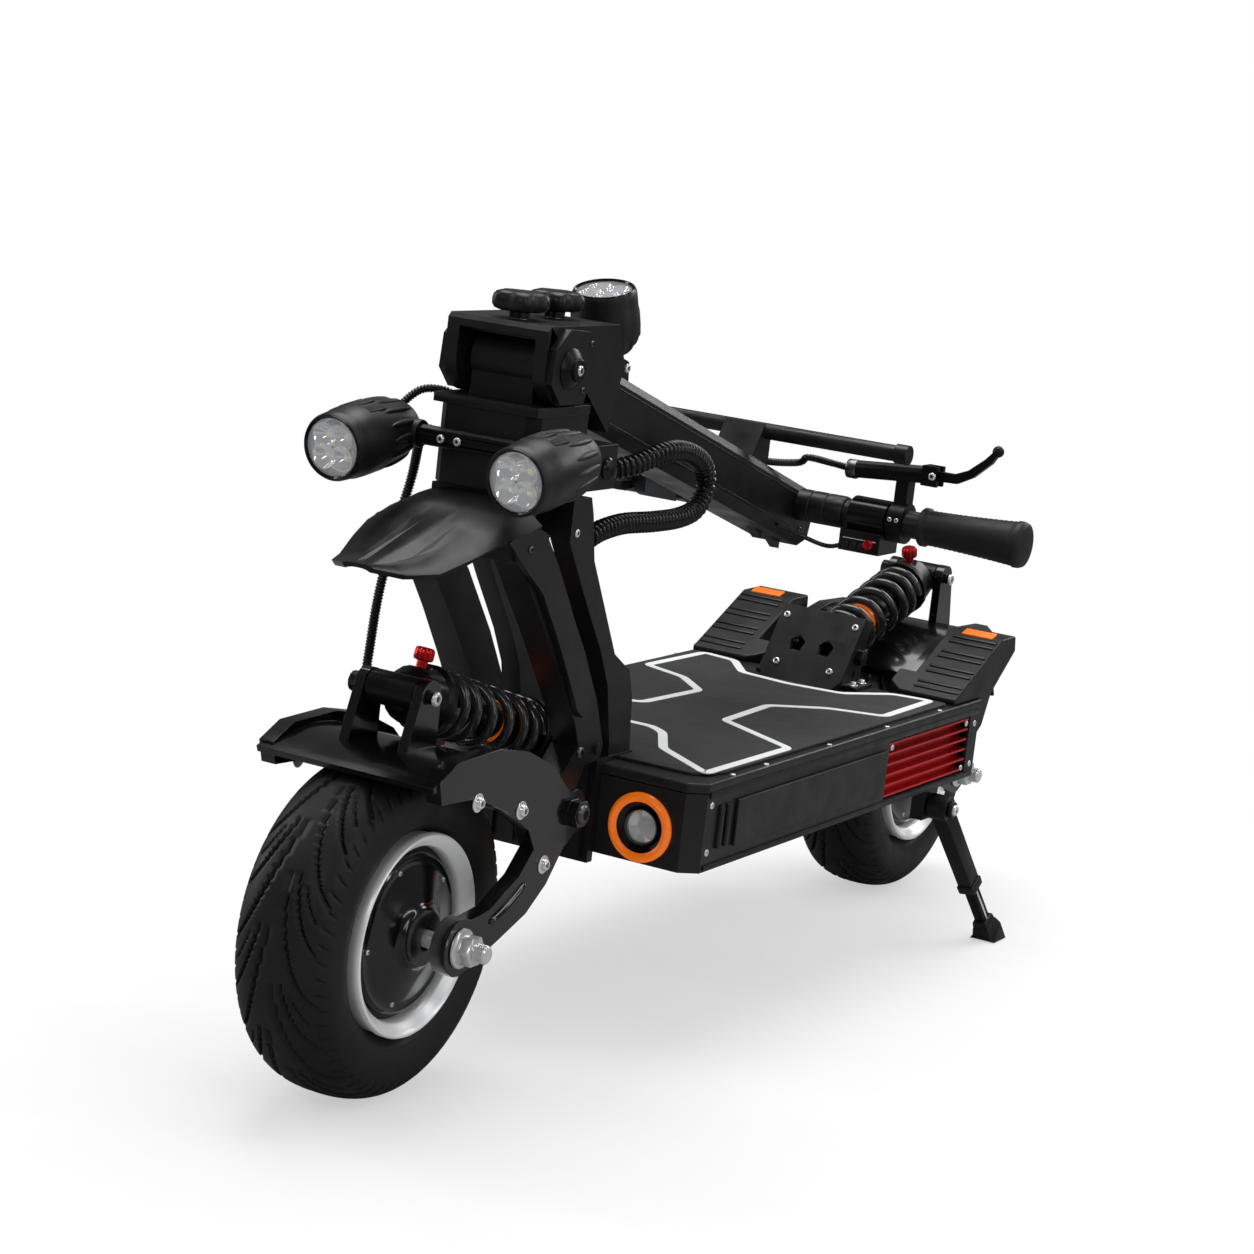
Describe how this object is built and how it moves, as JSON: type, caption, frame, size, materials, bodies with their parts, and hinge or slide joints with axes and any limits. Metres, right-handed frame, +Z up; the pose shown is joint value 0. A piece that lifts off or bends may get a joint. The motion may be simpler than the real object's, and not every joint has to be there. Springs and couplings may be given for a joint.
{
  "type": "electric kick scooter",
  "caption": "Folding electric kick scooter with hub-motor wheels, sprung swing arms, a wide deck, a folding square stem, handlebar controls and lamps.",
  "frame": {"origin": "the ground under the middle of the wheelbase", "axes": "+Y runs from the front wheel to the back wheel, +Z is up, and +X is the side of the kickstand, on the left of a rider who faces the front wheel"},
  "size_m": [0.532, 1.271, 0.6576],
  "materials": {
    "satin_black": "satin",
    "gloss_black": "gloss",
    "silver_anodised": "satin",
    "black_anodised": "satin",
    "red_anodised": "satin",
    "steel": "satin",
    "spring_steel": "gloss",
    "tyre_rubber": "matte",
    "deck_rubber": "matte",
    "grip_rubber": "matte",
    "black_plastic": "matte",
    "gloss_plastic": "gloss",
    "hose_plastic": "satin"
  },
  "bodies": {
    "frame": {"deck_shell": "satin_black", "top_plate": "satin_black", "deck_mat": "deck_rubber", "side_cover_l": "satin_black", "side_cover_r": "satin_black", "heat_sink_l": "red_anodised", "heat_sink_r": "red_anodised", "deck_lamp_l": "gloss_plastic", "deck_lamp_r": "gloss_plastic", "battery_pack": "black_plastic", "neck_frame": "satin_black", "headset": "black_anodised", "rear_bracket": "satin_black", "footrest_l": "black_plastic", "footrest_r": "black_plastic", "kickstand_bracket": "satin_black"},
    "kickstand": {"kickstand_leg": "satin_black"},
    "rear_arm": {"rear_swingarm": "gloss_black", "rear_axle": "steel", "rear_caliper": "silver_anodised", "rear_fender": "black_plastic"},
    "rear_wheel": {"rear_tyre": "tyre_rubber", "rear_hub": "gloss_black"},
    "rear_damper": {"rear_shock_body": "black_anodised", "rear_spring": "spring_steel"},
    "rear_rod": {"rear_shock_rod": "steel"},
    "rear_knob": {"rear_rebound_knob": "red_anodised"},
    "steering": {"fork": "satin_black", "fork_fender": "black_plastic", "clamp_block": "satin_black", "main_hose": "hose_plastic", "front_loom": "hose_plastic"},
    "lamp_left": {"lamp_l": "black_anodised"},
    "lamp_right": {"lamp_r": "black_anodised"},
    "front_arm": {"front_swingarm": "gloss_black", "front_axle": "steel", "front_caliper": "silver_anodised"},
    "front_wheel": {"front_tyre": "tyre_rubber", "front_hub": "gloss_black"},
    "front_damper": {"front_shock_body": "black_anodised", "front_spring": "spring_steel"},
    "front_rod": {"front_shock_rod": "steel"},
    "front_knob": {"front_rebound_knob": "red_anodised"},
    "stem": {"hinge_head": "satin_black", "stem_tube": "satin_black", "handlebar": "satin_black", "grip_l": "grip_rubber", "grip_r": "grip_rubber", "accessory_bar": "satin_black", "brake_perch_l": "black_anodised", "brake_perch_r": "black_anodised", "switch_pod": "gloss_plastic", "display_unit": "gloss_plastic"},
    "stem_light": {"stem_lamp": "black_anodised"},
    "clamp_wheel_a": {"clamp_knob_a": "black_anodised"},
    "clamp_wheel_b": {"clamp_knob_b": "black_anodised"},
    "lever_left": {"brake_lever_l": "black_anodised"},
    "lever_right": {"brake_lever_r": "black_anodised"},
    "horn": {"horn_button": "gloss_plastic"},
    "throttle_grip": {"throttle": "black_plastic"}
  },
  "joints": [
    {"name": "kickstand_fold", "type": "hinge", "parent": "frame", "child": "kickstand", "pos_m": [0.156, 0.29, 0.148], "axis": [1, 0, 0], "range_deg": [0, 58]},
    {"name": "steer", "type": "hinge", "parent": "frame", "child": "steering", "pos_m": [0, -0.352, 0.489], "axis": [0, 0, 1], "range_deg": [-35, 35], "deforming": ["main_hose"]},
    {"name": "front_suspension", "type": "hinge", "parent": "steering", "child": "front_arm", "pos_m": [0, -0.336, 0.22646], "axis": [-1, 0, 0], "range_deg": [0, 12], "stiffness_Nm_per_rad": 480, "springref_deg": -6.02, "deforming": ["front_loom"]},
    {"name": "front_damper_pivot", "type": "hinge", "parent": "steering", "child": "front_damper", "pos_m": [0, -0.262, 0.26546], "axis": [-1, 0, 0], "range_deg": [0, 10]},
    {"name": "front_damper_stroke", "type": "slide", "parent": "front_damper", "child": "front_rod", "axis": [0, 0.9594, -0.2819], "range_m": [0, 0.016], "deforming": ["front_spring"]},
    {"name": "front_rebound", "type": "hinge", "parent": "front_rod", "child": "front_knob", "pos_m": [0, -0.45857, 0.3472], "axis": [0, 0.2819, 0.9594], "range_deg": [0, 270]},
    {"name": "front_spin", "type": "hinge", "parent": "front_arm", "child": "front_wheel", "pos_m": [0, -0.495, 0.14046], "axis": [1, 0, 0], "continuous": true},
    {"name": "rear_suspension", "type": "hinge", "parent": "frame", "child": "rear_arm", "pos_m": [0, 0.336, 0.22646], "axis": [1, 0, 0], "range_deg": [0, 12], "stiffness_Nm_per_rad": 480, "springref_deg": -6.02},
    {"name": "rear_damper_pivot", "type": "hinge", "parent": "frame", "child": "rear_damper", "pos_m": [0, 0.3, 0.27846], "axis": [1, 0, 0], "range_deg": [0, 12]},
    {"name": "rear_damper_stroke", "type": "slide", "parent": "rear_damper", "child": "rear_rod", "axis": [0, -0.9673, -0.2536], "range_m": [0, 0.016], "deforming": ["rear_spring"]},
    {"name": "rear_rebound", "type": "hinge", "parent": "rear_rod", "child": "rear_knob", "pos_m": [0, 0.49402, 0.35312], "axis": [0, -0.2536, 0.9673], "range_deg": [0, 270]},
    {"name": "rear_spin", "type": "hinge", "parent": "rear_arm", "child": "rear_wheel", "pos_m": [0, 0.495, 0.14046], "axis": [1, 0, 0], "continuous": true},
    {"name": "lamp_tilt_l", "type": "hinge", "parent": "steering", "child": "lamp_left", "pos_m": [0.0865, -0.4034, 0.526], "axis": [1, 0, 0], "range_deg": [-25, 15]},
    {"name": "lamp_tilt_r", "type": "hinge", "parent": "steering", "child": "lamp_right", "pos_m": [-0.0865, -0.4034, 0.526], "axis": [1, 0, 0], "range_deg": [-25, 15]},
    {"name": "stem_fold", "type": "hinge", "parent": "steering", "child": "stem", "pos_m": [0, -0.364, 0.5938], "axis": [1, 0, 0], "range_deg": [0, 90]},
    {"name": "stem_lamp_tilt", "type": "hinge", "parent": "stem", "child": "stem_light", "pos_m": [0, -0.20962, 0.58527], "axis": [1, 0, 0], "range_deg": [-20, 4]},
    {"name": "clamp_knob_turn_a", "type": "hinge", "parent": "stem", "child": "clamp_wheel_a", "pos_m": [0, -0.364, 0.6278], "axis": [0, 0, 1], "continuous": true},
    {"name": "clamp_knob_turn_b", "type": "hinge", "parent": "stem", "child": "clamp_wheel_b", "pos_m": [0, -0.308, 0.6278], "axis": [0, 0, 1], "continuous": true},
    {"name": "brake_lever_l_pull", "type": "hinge", "parent": "stem", "child": "lever_left", "pos_m": [0.168, 0.14266, 0.49472], "axis": [0, 1, 0], "range_deg": [0, 20], "stiffness_Nm_per_rad": 1.5, "springref_deg": -22.92},
    {"name": "brake_lever_r_pull", "type": "hinge", "parent": "stem", "child": "lever_right", "pos_m": [-0.168, 0.14266, 0.49472], "axis": [0, -1, 0], "range_deg": [0, 20], "stiffness_Nm_per_rad": 1.5, "springref_deg": -22.92},
    {"name": "horn_press", "type": "slide", "parent": "stem", "child": "horn", "axis": [0, 1, 0], "range_m": [0, 0.0025], "stiffness_N_per_m": 800, "springref_m": -0.001},
    {"name": "throttle_turn", "type": "hinge", "parent": "stem", "child": "throttle_grip", "pos_m": [0, 0.14466, 0.44472], "axis": [-1, 0, 0], "range_deg": [0, 35], "stiffness_Nm_per_rad": 0.3, "springref_deg": -17.19}
  ],
  "couplings": [
    {"joint": "front_damper_pivot", "follows": "front_suspension", "ratio": 0.757},
    {"joint": "front_damper_stroke", "follows": "front_suspension", "m_per_rad": 0.0615},
    {"joint": "rear_damper_pivot", "follows": "rear_suspension", "ratio": 0.921},
    {"joint": "rear_damper_stroke", "follows": "rear_suspension", "m_per_rad": 0.0606}
  ]
}
